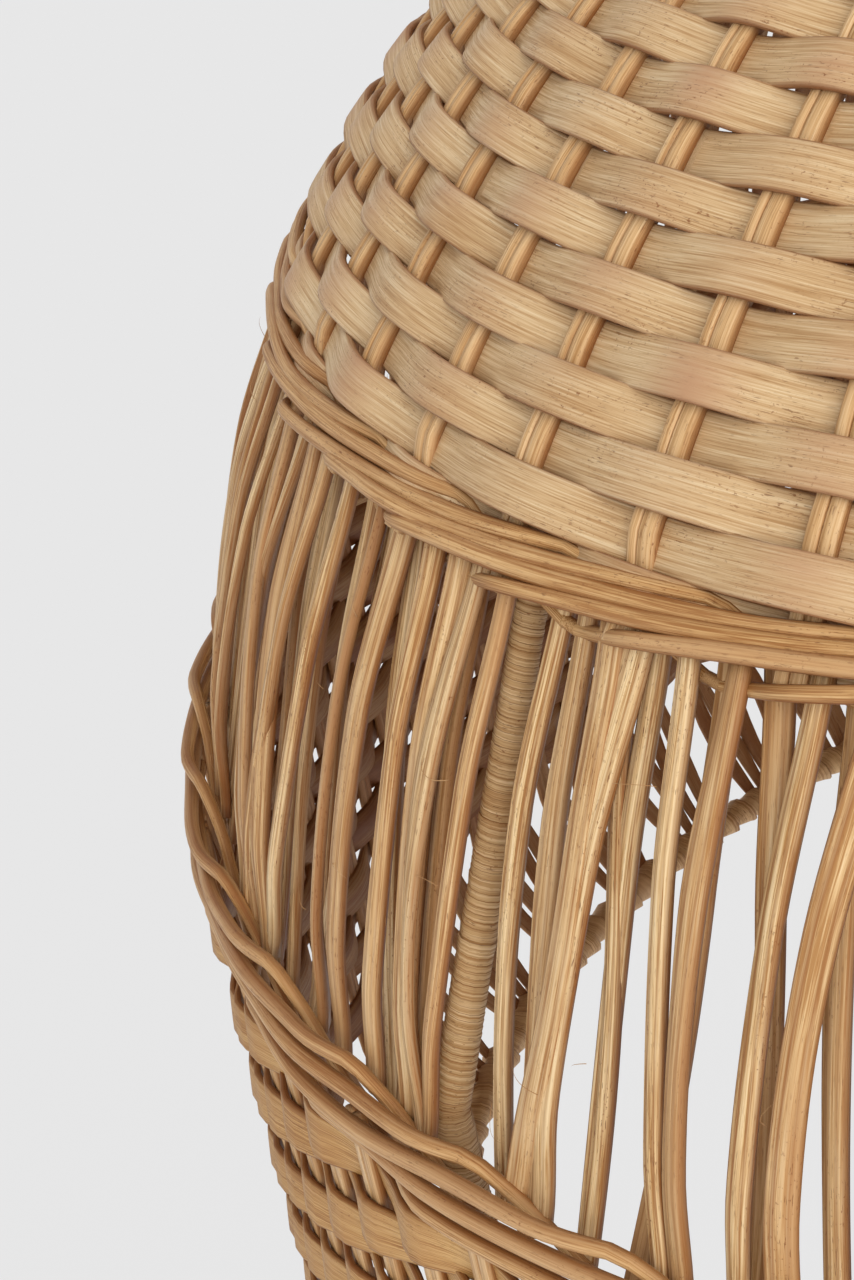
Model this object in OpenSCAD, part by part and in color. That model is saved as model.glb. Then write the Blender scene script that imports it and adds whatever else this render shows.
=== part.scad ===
// Garden torch: a large woven rattan head on a two-piece bamboo pole with a ground spike.
// Millimetres. +Z is up; the origin is where the spike meets the underside of the step plate.

/* [Pole] */
// Outer radius of both bamboo sections
pole_r = 18; // [16:0.5:20]
// Radius of the hollow through the bamboo
pole_bore_r = 11; // [9:0.5:12]
// Length of the lower bamboo section
lower_pole_l = 560; // [400:10:700]
// Length of the upper bamboo section
upper_pole_l = 560; // [400:10:700]
// Length of the steel sleeve that joins the two sections
coupler_l = 120; // [100:5:160]

/* [Ground spike] */
// Radius of the spike's round shank
spike_r = 6; // [5:0.5:7]
// Length of the round shank below the step plate
spike_l = 150; // [100:10:200]
// Length of the spike's point
spike_tip_l = 32; // [20:1:40]
// Radius of the step plate
plate_r = 34; // [28:1:40]
// Thickness of the step plate
plate_t = 4; // [3:0.5:6]

/* [Woven head] */
// Radius of the body at the lower edge of the upper waling
ring_r = 150; // [140:1:170]
// Number of stakes round the dome
stakes = 49; // [41:2:57]
// Radius of a dome stake
stake_r = 1.4; // [1.2:0.1:1.6]
// Radius of a lattice cane
cane_r = 1.3; // [1.1:0.1:1.5]
// Thickness of the woven splint wall
splint_t = 1.4; // [1.2:0.1:1.8]
// Radius of one row of waling
waling_r = 2.3; // [2.1:0.1:2.5]

/* [Wire frame] */
// Radius of the frame wire
wire_r = 1; // [0.9:0.1:1.2]
// Radius of the raffia wrapping on a rib
wrap_r = 1.5; // [1.4:0.1:1.6]
// Number of ribs and spider arms
ribs = 3; // [3:1:4]

/* [Burner] */
// Outer radius of the fuel canister
can_r = 40; // [36:1:41]
// Depth of the fuel canister below its flange
can_h = 82; // [60:1:90]
// Wall of the canister
can_wall = 0.9; // [0.8:0.1:1.2]
// Radius of the wick
wick_r = 5; // [4:0.5:6]

/* [Hidden] */
$fn = 96;

// Small gaps between pieces
fit_gap = 0.05;
slide_gap = 0.3;

// Coupler sleeve and its screws
sleeve_t = 2;
screw_depth = 6;
coupler_screw_r = 1.5;

// Heights on the pole
joint_z = plate_t + lower_pole_l;
pole_top_z = joint_z + upper_pole_l;
hub_wall = 3;
hub_below = 46;
hub_cap_t = 4;
arm_t = 4;
arm_w = 8;
thumbscrew_z = pole_top_z - 30;
thumbscrew_r = 3;
rim_z = pole_top_z + hub_cap_t / 2;

// Levels and radii of the woven body
ring_z = rim_z + 1.125 * ring_r;
lattice_h = 0.352 * ring_r;
belt_r = 1.144 * ring_r;
belt_z = ring_z - lattice_h;
lower_r = 1.150 * ring_r;
weave_end_z = ring_z - 0.95 * ring_r;
rim_r = 1.045 * ring_r;
binding_r = 2.6;

// Dome arc: it starts 36 degrees off vertical at the upper waling and ends at the neck
arc_r = 1.6 * ring_r;
arc_start = 36;
neck_r = 46;
arc_x = ring_r - arc_r * cos(arc_start);
arc_z = ring_z - arc_r * sin(arc_start);
arc_end = acos((neck_r - arc_x) / arc_r);
waling_rows = 2;
waling_pitch = 2 * waling_r - 0.3;
waling_angle = waling_rows * waling_pitch / arc_r * 180 / PI;
weave_start = arc_start + waling_angle + 0.15;
neck_z = arc_z + arc_r * sin(arc_end);
collar_h = 16;
lower_rows = 3;

// Azimuths: zero faces -Y and angles grow towards -X
stake_pitch = 360 / stakes;
stake_phase = 6.5;
rib_phase = 36.5;

// Neck and burner
seat_r = can_r + 1;
seat_t = 1.2;
seat_top_z = neck_z + collar_h;
flange_r = can_r + 4.5;
flange_z = seat_top_z + 0.1;
flange_t = 1.2;
mouth_r = 16;
shoulder_h = 14;
mouth_h = 10;
mouth_z = flange_z + flange_t + shoulder_h;
cap_r = 20;
cap_top_z = mouth_z + mouth_h + 2.4;
tube_r = wick_r + 1.2;
tube_top_z = cap_top_z + 18;
hinge_x = cap_r + 7;
hinge_z = cap_top_z + 8;
pin_r = 1.5;
snuffer_r = 15;
snuffer_bottom_z = cap_top_z + 2;
snuffer_top_z = tube_top_z + 21;

rattan = [0.80, 0.64, 0.43];
rattan_dark = [0.70, 0.53, 0.34];
raffia = [0.77, 0.62, 0.42];
bamboo = [0.78, 0.66, 0.42];
cotton = [0.90, 0.88, 0.82];
rubber = [0.10, 0.10, 0.10];
steel = [0.22, 0.21, 0.20];
copper = [0.62, 0.42, 0.27];

// Turns a shape that faces +X to the azimuth a
module at_azimuth(a) {
    rotate([0, 0, 270 - a]) children();
}

// Point at azimuth a, radius r and height z
function ring_point(a, r, z) = [-r * sin(a), -r * cos(a), z];

// Straight round rod between two points
module rod(p, q, r) {
    v = q - p;
    translate(p)
        rotate([0, acos(v.z / norm(v)), atan2(v.y, v.x)])
            cylinder(h = norm(v), r = r, $fn = 24);
}

// Ring of round section
module hoop(major, z, minor) {
    translate([0, 0, z])
        rotate_extrude()
            translate([major, 0])
                circle(r = minor, $fn = 32);
}

// Tube standing on height z
module tube(outer, inner, h, z) {
    translate([0, 0, z])
        difference() {
            cylinder(h = h, r = outer);
            translate([0, 0, -1]) cylinder(h = h + 2, r = inner);
        }
}

// Hollow bamboo culm with a swollen ring at each joint of the cane
module culm(z, l, joints) {
    ridge = 1.1;
    ridge_h = 5;
    color(bamboo)
        translate([0, 0, z])
            difference() {
                union() {
                    cylinder(h = l, r = pole_r);
                    for (k = joints)
                        translate([0, 0, k * l - ridge_h]) {
                            cylinder(h = ridge_h, r1 = pole_r - 0.5, r2 = pole_r + ridge);
                            translate([0, 0, ridge_h])
                                cylinder(h = ridge_h, r1 = pole_r + ridge, r2 = pole_r - 0.5);
                        }
                }
                translate([0, 0, -1]) cylinder(h = l + 2, r = pole_bore_r);
            }
}

// Places the coupler's two screws, each axis running outward from its tip
module coupler_screw_places() {
    for (a = [0, 180])
        rotate([0, 0, a])
            translate([pole_r - screw_depth, 0, joint_z - coupler_l / 4])
                rotate([0, 90, 0])
                    children();
}

module ground_spike() {
    tang_l = 70;
    color(steel) {
        translate([0, 0, -spike_l]) cylinder(h = spike_l, r = spike_r);
        translate([0, 0, -spike_l - spike_tip_l])
            cylinder(h = spike_tip_l, r1 = 0.8, r2 = spike_r);
        cylinder(h = plate_t, r = plate_r);
        translate([0, 0, plate_t]) cylinder(h = tang_l, r = pole_bore_r - fit_gap);
    }
}

module spike_ferrule() {
    ferrule_h = 46;
    color(steel) tube(pole_r + 1.6, pole_r + fit_gap, ferrule_h, plate_t + fit_gap);
}

module lower_pole() {
    difference() {
        culm(plate_t + fit_gap, lower_pole_l - 2 * fit_gap, [0.24, 0.56, 0.82]);
        coupler_screw_places() cylinder(h = 20, r = coupler_screw_r, $fn = 24);
    }
}

module pole_coupler() {
    color(steel)
        difference() {
            tube(pole_r + sleeve_t, pole_r + slide_gap, coupler_l, joint_z - coupler_l / 2);
            coupler_screw_places() cylinder(h = 20, r = coupler_screw_r, $fn = 24);
        }
}

module coupler_screws() {
    seat = screw_depth + sleeve_t + fit_gap;
    color(steel)
        coupler_screw_places() {
            translate([0, 0, 0.5]) cylinder(h = seat, r = coupler_screw_r - fit_gap, $fn = 24);
            translate([0, 0, seat]) cylinder(h = 1.6, r1 = 3.2, r2 = 2, $fn = 24);
        }
}

module upper_pole() {
    culm(joint_z + fit_gap, upper_pole_l - 2 * fit_gap, [0.2, 0.52, 0.8]);
}

// Cup that drops over the pole's top, with a boss for the thumbscrew
module spider_hub() {
    inner = pole_r + slide_gap;
    outer = inner + hub_wall;
    boss_l = 8;
    color(steel)
        difference() {
            union() {
                translate([0, 0, pole_top_z - hub_below])
                    cylinder(h = hub_below + hub_cap_t, r = outer);
                translate([outer - 1, 0, thumbscrew_z])
                    rotate([0, 90, 0])
                        cylinder(h = boss_l, r = 6.5);
            }
            translate([0, 0, pole_top_z - hub_below - 1]) cylinder(h = hub_below + 1, r = inner);
            translate([0, 0, thumbscrew_z])
                rotate([0, 90, 0])
                    cylinder(h = outer + boss_l + 5, r = thumbscrew_r + 0.08);
        }
}

module hub_thumbscrew() {
    start = pole_r + slide_gap;
    reach = hub_wall + 10;
    head_r = 10;
    head_t = 7;
    color(steel)
        translate([start, 0, thumbscrew_z])
            rotate([0, 90, 0]) {
                cylinder(h = reach + head_t / 2, r = thumbscrew_r);
                difference() {
                    translate([0, 0, reach]) cylinder(h = head_t, r = head_r);
                    for (a = [0 : 30 : 330])
                        rotate([0, 0, a])
                            translate([head_r + 1, 0, reach - 1])
                                cylinder(h = head_t + 2, r = 2, $fn = 24);
                }
            }
}

module spider_arms() {
    hub_outer = pole_r + slide_gap + hub_wall;
    arm_end = rim_r - binding_r - 0.2;
    color(steel)
        for (k = [0 : ribs - 1])
            at_azimuth(rib_phase + k * 360 / ribs)
                translate([hub_outer - 1, -arm_w / 2, rim_z - arm_t / 2])
                    cube([arm_end - hub_outer + 1, arm_w, arm_t]);
}

module bottom_ring() {
    color(steel) hoop(rim_r, rim_z, wire_r + 0.2);
}

// Rattan strip wound round the bottom wire
module rim_binding() {
    color(rattan_dark)
        translate([0, 0, rim_z])
            rotate_extrude()
                translate([rim_r, 0])
                    difference() {
                        circle(r = binding_r, $fn = 32);
                        circle(r = wire_r + 0.25, $fn = 32);
                    }
}

// Turning points of a rib, from the bottom ring to the upper waling
rib_inset = 3 * cane_r + wrap_r + 2.9;
rib_points = [
    [rim_r - 3.5, rim_z + binding_r + 0.2],
    [lower_r - rib_inset, weave_end_z],
    [lower_r - rib_inset, belt_z - 4],
    [ring_r - rib_inset - 1, ring_z]
];

// One wire rib, straight between its turning points and curved under the dome
module rib() {
    for (k = [0 : len(rib_points) - 2])
        rod([rib_points[k][0], 0, rib_points[k][1]],
            [rib_points[k + 1][0], 0, rib_points[k + 1][1]], wire_r);
    for (k = [1 : len(rib_points) - 1])
        translate([rib_points[k][0], 0, rib_points[k][1]])
            sphere(r = wire_r + 0.2, $fn = 24);
    under = norm(rib_points[3] - [arc_x, arc_z]);
    start = atan2(rib_points[3][1] - arc_z, rib_points[3][0] - arc_x);
    end = acos((seat_r + 2.8 - arc_x) / under);
    translate([arc_x, 0, arc_z])
        rotate([90, 0, 0])
            rotate([0, 0, start])
                rotate_extrude(angle = end - start)
                    translate([under, 0])
                        circle(r = wire_r, $fn = 24);
}

module frame_ribs() {
    color(steel)
        for (k = [0 : ribs - 1])
            at_azimuth(rib_phase + k * 360 / ribs) rib();
}

// Raffia wound round each rib behind the open lattice
module rib_wrapping() {
    foot = [rib_points[2][0], 0, rib_points[2][1]];
    head = [rib_points[3][0], 0, rib_points[3][1]];
    step = (head - foot) / norm(head - foot);
    color(raffia)
        for (k = [0 : ribs - 1])
            at_azimuth(rib_phase + k * 360 / ribs)
                difference() {
                    rod(foot + 2 * step, head - 2 * step, wrap_r);
                    rod(foot, head, wire_r + fit_gap);
                }
}

module rim_strips() {
    top = [lower_r - cane_r, weave_end_z - 1];
    foot = [rim_r + 1, rim_z + binding_r + cane_r];
    color(rattan)
        for (k = [0 : stakes - 1]) {
            a = stake_phase + (k + 0.5) * stake_pitch;
            rod(ring_point(a, foot[0], foot[1]), ring_point(a, top[0], top[1]), cane_r);
        }
}

module lower_stakes() {
    belt_foot = belt_z - lower_rows * waling_pitch - 0.6;
    color(rattan_dark)
        for (k = [0 : stakes - 1]) {
            a = stake_phase + (k + 0.5) * stake_pitch;
            rod(ring_point(a, lower_r - cane_r, weave_end_z),
                ring_point(a, lower_r - cane_r, belt_foot), cane_r);
        }
}

module lower_weave() {
    belt_foot = belt_z - lower_rows * waling_pitch - 0.6;
    color(rattan)
        tube(lower_r + splint_t, lower_r + 0.1, belt_foot - weave_end_z, weave_end_z);
}

module lower_waling() {
    color(rattan_dark)
        for (k = [0 : lower_rows - 1])
            hoop(belt_r - 1, belt_z - waling_r - k * waling_pitch, waling_r);
}

// Ring of straight canes from just above the lower waling to just below the upper one, inset by depth
// and leaning by lean degrees
module lattice(depth, lean, phase) {
    foot = [belt_r - 1 - depth, belt_z + cane_r / 2];
    head = [ring_r - 1.6 - depth, ring_z - 2 * cane_r];
    for (k = [0 : stakes - 1]) {
        a = stake_phase + (k + phase) * stake_pitch;
        rod(ring_point(a + lean, foot[0], foot[1]), ring_point(a, head[0], head[1]), cane_r);
    }
}

module lattice_canes_outer() {
    color(rattan) lattice(0, 2.5, 0.25);
}

module lattice_canes_inner() {
    color(rattan_dark) lattice(2 * cane_r + 0.2, -1, 0.75);
}

module upper_waling() {
    color(rattan_dark)
        for (k = [0 : waling_rows - 1]) {
            a = arc_start + (k + 0.5) * waling_pitch / arc_r * 180 / PI;
            hoop(arc_x + (arc_r - 1.6) * cos(a), arc_z + (arc_r - 1.6) * sin(a), waling_r);
        }
}

module dome_stakes() {
    span = arc_end - weave_start - 0.8;
    color(rattan_dark)
        for (k = [0 : stakes - 1])
            at_azimuth(stake_phase + k * stake_pitch)
                translate([arc_x, 0, arc_z])
                    rotate([90, 0, 0])
                        rotate([0, 0, weave_start + 0.4])
                            rotate_extrude(angle = span)
                                translate([arc_r - stake_r, 0])
                                    circle(r = stake_r, $fn = 24);
}

module dome_weave() {
    reach = 2 * arc_r;
    color(rattan)
        translate([0, 0, arc_z])
            rotate_extrude()
                translate([arc_x, 0])
                    intersection() {
                        difference() {
                            circle(r = arc_r + 0.1 + splint_t);
                            circle(r = arc_r + 0.1);
                        }
                        polygon([
                            [0, 0],
                            [reach * cos(weave_start), reach * sin(weave_start)],
                            [reach * cos(arc_end), reach * sin(arc_end)]
                        ]);
                    }
}

// Pressed steel seat for the canister
module neck_ring() {
    color(steel) {
        tube(seat_r + seat_t, seat_r, collar_h + 4, neck_z - 4);
        tube(seat_r + 5, seat_r, seat_t, seat_top_z - seat_t);
    }
}

module neck_binding() {
    thick = 3.2;
    color(rattan_dark)
        translate([0, 0, neck_z + 2])
            rotate_extrude()
                translate([seat_r + seat_t + 0.1, 0])
                    difference() {
                        square([thick, collar_h - 3.4]);
                        translate([thick, -0.01]) circle(r = 1, $fn = 24);
                        translate([thick, collar_h - 3.4]) circle(r = 1, $fn = 24);
                    }
}

module fuel_canister() {
    color(copper) {
        difference() {
            translate([0, 0, flange_z - can_h]) cylinder(h = can_h + flange_t, r = can_r);
            translate([0, 0, flange_z - can_h + can_wall])
                cylinder(h = can_h + flange_t, r = can_r - can_wall);
        }
        tube(flange_r, can_r - can_wall, flange_t, flange_z);
    }
}

// Coned lid seamed to the flange, with the threaded mouth
module canister_top() {
    foot_z = flange_z + flange_t;
    color(copper) {
        tube(flange_r, can_r - 1.5, 1.4, foot_z);
        difference() {
            translate([0, 0, foot_z]) cylinder(h = shoulder_h, r1 = can_r, r2 = mouth_r);
            translate([0, 0, foot_z - can_wall])
                cylinder(h = shoulder_h, r1 = can_r, r2 = mouth_r);
            translate([0, 0, foot_z - 1]) cylinder(h = shoulder_h + 2, r = mouth_r - can_wall);
        }
        tube(mouth_r, mouth_r - can_wall, mouth_h + 0.5, mouth_z - 0.5);
        for (k = [0 : 2])
            hoop(mouth_r, mouth_z + 3.4 + k * 2.2, 0.45);
    }
}

module cap_gasket() {
    color(rubber) tube(mouth_r, mouth_r - 2, 0.9, mouth_z + mouth_h + fit_gap);
}

// Screw collar that closes the mouth and carries the wick tube
module burner_cap() {
    color(copper)
        difference() {
            translate([0, 0, mouth_z + 0.6]) cylinder(h = cap_top_z - mouth_z - 0.6, r = cap_r);
            translate([0, 0, mouth_z - 1]) cylinder(h = mouth_h + 2.2, r = mouth_r + 0.9);
            translate([0, 0, mouth_z]) cylinder(h = 20, r = tube_r + fit_gap);
            for (a = [0 : 10 : 350])
                rotate([0, 0, a])
                    translate([cap_r + 0.4, 0, mouth_z])
                        cylinder(h = mouth_h, r = 0.9, $fn = 16);
        }
}

module wick_tube() {
    color(copper) {
        tube(tube_r, wick_r + 0.1, tube_top_z - cap_top_z + 12, cap_top_z - 12);
        tube(tube_r + 2, tube_r - 0.5, 1.2, cap_top_z + 0.05);
    }
}

// Two ears beside the cap that hold the snuffer's pin
module hinge_bracket() {
    ear_t = 1.6;
    gap = 7;
    color(copper)
        difference() {
            union() {
                translate([cap_r - 7, -gap / 2 - ear_t, cap_top_z + 0.05])
                    cube([hinge_x - cap_r + 10, gap + 2 * ear_t, 1.4]);
                for (side = [-1, 1])
                    translate([0, side * (gap + ear_t) / 2, 0]) {
                        translate([hinge_x - 3.5, -ear_t / 2, cap_top_z + 0.05])
                            cube([7, ear_t, hinge_z - cap_top_z]);
                        translate([hinge_x, 0, hinge_z])
                            rotate([90, 0, 0])
                                cylinder(h = ear_t, r = 3.5, center = true, $fn = 32);
                    }
            }
            translate([hinge_x, 0, hinge_z])
                rotate([90, 0, 0])
                    cylinder(h = 30, r = pin_r + 0.02, center = true, $fn = 32);
        }
}

module hinge_pin() {
    color(steel)
        translate([hinge_x, 0, hinge_z])
            rotate([90, 0, 0]) {
                cylinder(h = 12, r = pin_r, center = true, $fn = 32);
                for (side = [-1, 1])
                    translate([0, 0, side * 6.2])
                        cylinder(h = 1, r = 2.4, center = true, $fn = 32);
            }
}

module wick() {
    wick_l = 95;
    color(cotton)
        translate([0, 0, tube_top_z + 6 - wick_l])
            cylinder(h = wick_l, r = wick_r);
}

// Cup over the flame with an arm that turns on the pin
module snuffer_cap() {
    cup_wall = 1;
    cup_h = snuffer_top_z - snuffer_bottom_z;
    foot_r = snuffer_r + 1;
    head_r = snuffer_r - 3;
    color(copper)
        difference() {
            union() {
                translate([0, 0, snuffer_bottom_z]) cylinder(h = cup_h, r1 = foot_r, r2 = head_r);
                translate([snuffer_r - 2, -2.5, hinge_z - 1])
                    cube([hinge_x - snuffer_r + 2, 5, 2]);
                translate([hinge_x, 0, hinge_z])
                    rotate([90, 0, 0])
                        cylinder(h = 5, r = 3.2, center = true, $fn = 32);
            }
            translate([0, 0, snuffer_bottom_z - cup_wall])
                cylinder(h = cup_h, r1 = foot_r - cup_wall, r2 = head_r - cup_wall);
            translate([hinge_x, 0, hinge_z])
                rotate([90, 0, 0])
                    cylinder(h = 30, r = pin_r + 0.06, center = true, $fn = 32);
        }
}

module snuffer_knob() {
    color(steel)
        translate([0, 0, snuffer_top_z + fit_gap]) {
            cylinder(h = 4, r = 2.5, $fn = 32);
            translate([0, 0, 7]) sphere(r = 4.5, $fn = 48);
        }
}

ground_spike();
spike_ferrule();
lower_pole();
pole_coupler();
coupler_screws();
upper_pole();
spider_hub();
spider_arms();
hub_thumbscrew();
bottom_ring();
frame_ribs();
rib_wrapping();
rim_binding();
rim_strips();
lower_stakes();
lower_weave();
lower_waling();
lattice_canes_outer();
lattice_canes_inner();
upper_waling();
dome_stakes();
dome_weave();
neck_ring();
neck_binding();
fuel_canister();
canister_top();
cap_gasket();
burner_cap();
wick_tube();
hinge_bracket();
hinge_pin();
wick();
snuffer_cap();
snuffer_knob();
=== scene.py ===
"""Looks of the garden torch: a rattan weave, wound bindings, bamboo and metal, all procedural, round the
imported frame."""

import math
from collections import namedtuple

import bpy
import numpy as np
from mathutils import Matrix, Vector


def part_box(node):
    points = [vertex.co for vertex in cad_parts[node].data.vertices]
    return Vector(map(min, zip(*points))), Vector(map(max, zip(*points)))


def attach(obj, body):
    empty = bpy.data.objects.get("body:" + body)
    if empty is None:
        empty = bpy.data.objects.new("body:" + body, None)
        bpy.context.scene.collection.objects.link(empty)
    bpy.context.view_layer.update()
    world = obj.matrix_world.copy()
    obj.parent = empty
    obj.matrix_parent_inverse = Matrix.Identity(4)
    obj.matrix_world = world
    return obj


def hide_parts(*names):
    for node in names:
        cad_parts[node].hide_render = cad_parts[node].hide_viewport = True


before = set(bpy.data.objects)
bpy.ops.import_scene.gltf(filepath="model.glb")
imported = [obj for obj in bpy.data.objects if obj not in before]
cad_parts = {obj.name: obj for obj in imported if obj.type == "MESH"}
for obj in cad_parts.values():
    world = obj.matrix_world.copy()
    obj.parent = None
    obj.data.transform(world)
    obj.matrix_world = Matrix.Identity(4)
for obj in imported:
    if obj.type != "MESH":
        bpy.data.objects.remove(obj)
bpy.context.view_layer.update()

MM = 0.001
TAU = 2 * math.pi
Z = np.array([0.0, 0.0, 1.0])

# ---------------------------------------------------------------- sizes, from the frame
ring_low, ring_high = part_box("bottom_ring")
RIM_Z = (ring_low.z + ring_high.z) / 2
RIM_R = ring_high.x - (ring_high.z - ring_low.z) / 2
R = RIM_R / 1.045                      # radius at the lower edge of the upper waling
RING_Z = RIM_Z + 1.125 * R             # height of that edge
BELT_R = 1.144 * R                     # the upper edge of the lower waling
BELT_Z = RING_Z - 0.352 * R
LOWER_R = 1.150 * R                    # the lower weave, which is upright
LOWER_TOP_Z = RING_Z - 0.434 * R
WEAVE_END_Z = RING_Z - 0.95 * R
ARC_R, ARC_START = 1.6 * R, math.radians(36)    # the dome's profile, an arc that starts at this angle
ARC_X = R - ARC_R * math.cos(ARC_START)
ARC_Z = RING_Z - ARC_R * math.sin(ARC_START)

STAKES = 49
PITCH = TAU / STAKES
PHASE = math.radians(6.5)              # azimuth of the first stake
RIBS = 3
RIB_PHASE = math.radians(36.5)         # azimuth of the first rib
RIB_GAP = math.radians(2.5)            # how far round from a rib the canes part
STAKE_T = 1.6 * MM
SPLINT_T = 1.0 * MM
DOME_C = ARC_R - STAKE_T / 2           # arc radius at the middle of the stakes
LOWER_C = LOWER_R - 1.3 * MM           # radius at the middle of the lower stakes
BELT_C = BELT_R - 1.3 * MM             # radius that the lower waling's lift counts from
ROW_W = 0.0346 * R                     # from one dome row to the next, along the arc
WALING_H = 0.057 * R
DOME_ROWS = 24
LOWER_ROWS = 13
GRAINS = 9                             # seeds are drawn from 0 to this, to give each strand its own grain


# ---------------------------------------------------------------- geometry helpers
def unit(v):
    """Vectors brought to length one."""
    return v / np.maximum(np.linalg.norm(v, axis=-1, keepdims=True), 1e-12)


def radial(phi):
    """Outward direction at azimuths phi: zero faces -Y, and angles grow towards -X."""
    phi = np.atleast_1d(phi)
    return np.stack([-np.sin(phi), -np.cos(phi), np.zeros_like(phi)], axis=1)


def place(phi, r, z):
    """Points at azimuth, radius and height."""
    phi, r, z = np.broadcast_arrays(np.atleast_1d(phi), r, z)
    return radial(phi) * r[:, None] + z[:, None] * Z


def smooth_noise(rng, n, knots, size):
    """n values of a smooth random curve through the given number of knots."""
    values = rng.normal(0, size, knots + 3)
    t = np.linspace(0, knots, n)
    i = np.minimum(t.astype(int), knots - 1)
    u = t - i
    u = u * u * (3 - 2 * u)
    return values[i] * (1 - u) + values[i + 1] * u


def smoothstep(x, low, high):
    """Eases from 0 at low to 1 at high."""
    t = np.clip((x - low) / (high - low), 0, 1)
    return t * t * (3 - 2 * t)


def flat_profile(width, thick):
    """Flat splint: a nearly level face with crisp sides. Points as (across, outward), with an edge mark."""
    u = np.array([-0.5, -0.49, -0.44, -0.2, 0.2, 0.44, 0.49, 0.5, 0.48, -0.48]) * width
    v = np.array([0.0, 0.36, 0.47, 0.50, 0.50, 0.47, 0.36, 0.0, -0.5, -0.5]) * thick
    # edge mark on the sides and inner face: partly browning, partly painted shade
    edge = np.array([1, 0.8, 0.1, 0, 0, 0.1, 0.8, 1, 1, 1])
    return np.stack([u, v], 1)[::-1], edge[::-1]


def cane_profile(width, thick):
    """Split cane: a crowned outer face with two shallow grooves, and a flat inner one."""
    u = np.array([-0.5, -0.47, -0.36, -0.19, -0.10, 0.14, 0.25, 0.38, 0.47, 0.5, 0.42, -0.42]) * width
    v = np.array([-0.1, 0.24, 0.42, 0.41, 0.50, 0.50, 0.43, 0.40, 0.22, -0.1, -0.5, -0.5]) * thick
    # edge mark on the sides, the two grooves and the inner face: partly browning, partly painted shade in the
    # grooves and on the sides
    edge = np.array([1, 0.75, 0.05, 0.75, 0, 0, 0.6, 0.05, 0.75, 1, 1, 1])
    return np.stack([u, v], 1)[::-1], edge[::-1]


def stake_profile(width, thick):
    """A strip of a stake: flat, with rounded sides."""
    u = np.array([-0.5, -0.48, -0.38, 0.36, 0.48, 0.5, 0.4, -0.4]) * width
    v = np.array([0.1, 0.36, 0.49, 0.50, 0.38, 0.1, -0.5, -0.5]) * thick
    # edge mark on the sides and inner face: partly browning, partly painted shade
    edge = np.array([0.8, 0.35, 0, 0, 0.35, 0.8, 1, 1])
    return np.stack([u, v], 1)[::-1], edge[::-1]


def round_profile(radius, sides=8, flatten=1.0):
    """Round rod, squashed outward by flatten, with its upper and lower sides marked as edges: partly
    browning, partly painted shade in the crevices between stacked rods.
    """
    t = np.arange(sides) * TAU / sides
    return np.stack([np.cos(t) * radius, np.sin(t) * radius * flatten], 1), np.abs(np.cos(t)) ** 3


SEED_STEP = 37.0                       # keeps the grain of different seeds apart


def sweep(path, outward, profile, closed=False, width=1.0, thick=1.0, tone=0.0, seed=0.0, twist=0.0):
    """Drives a profile along a path. outward is the direction that the profile's second axis faces. Returns
    vertices, quads, end caps and what the materials read: where a point lies on its strand, with the seed as
    the third coordinate, and its edge and tone marks."""
    shape, edge = profile
    n, m = len(path), len(shape)
    if closed:
        tangent = np.roll(path, -1, 0) - np.roll(path, 1, 0)
        step = np.linalg.norm(np.roll(path, -1, 0) - path, axis=1)
    else:
        tangent = np.gradient(path, axis=0)
        step = np.linalg.norm(np.diff(path, axis=0, append=path[-1:]), axis=1)
    tangent = unit(tangent)
    across = unit(np.cross(np.broadcast_to(outward, path.shape), tangent))
    normal = np.cross(tangent, across)
    twist = np.broadcast_to(twist, n)[:, None]
    across, normal = (across * np.cos(twist) + normal * np.sin(twist),
                      normal * np.cos(twist) - across * np.sin(twist))
    wide = np.broadcast_to(width, n)[:, None]
    deep = np.broadcast_to(thick, n)[:, None]
    verts = (path[:, None] + across[:, None] * (shape[:, 0] * wide)[..., None]
             + normal[:, None] * (shape[:, 1] * deep)[..., None])
    rows = np.arange(n if closed else n - 1)
    i, j = np.meshgrid(rows, np.arange(m), indexing="ij")
    i2, j2 = (i + 1) % n, (j + 1) % m
    quads = np.stack([i * m + j, i * m + j2, i2 * m + j2, i2 * m + j], -1).reshape(-1, 4)
    caps = [] if closed else [np.arange(m)[::-1], (n - 1) * m + np.arange(m)]
    loop = np.vstack([shape, shape[:1]])
    around = np.concatenate([[0], np.cumsum(np.linalg.norm(np.diff(loop, axis=0), axis=1))[:-1]])
    along = np.concatenate([[0], np.cumsum(step)[:-1]])
    strand = np.zeros((n, m, 3))
    strand[..., 0] = around / MM
    strand[..., 1] = along[:, None] / MM
    strand[..., 2] = np.broadcast_to(seed, n)[:, None] * SEED_STEP
    marks = np.zeros((n, m, 2))
    marks[..., 0] = edge
    marks[..., 1] = np.broadcast_to(tone, n)[:, None]
    return verts.reshape(-1, 3), quads, caps, strand.reshape(-1, 3), marks.reshape(-1, 2)


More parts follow.
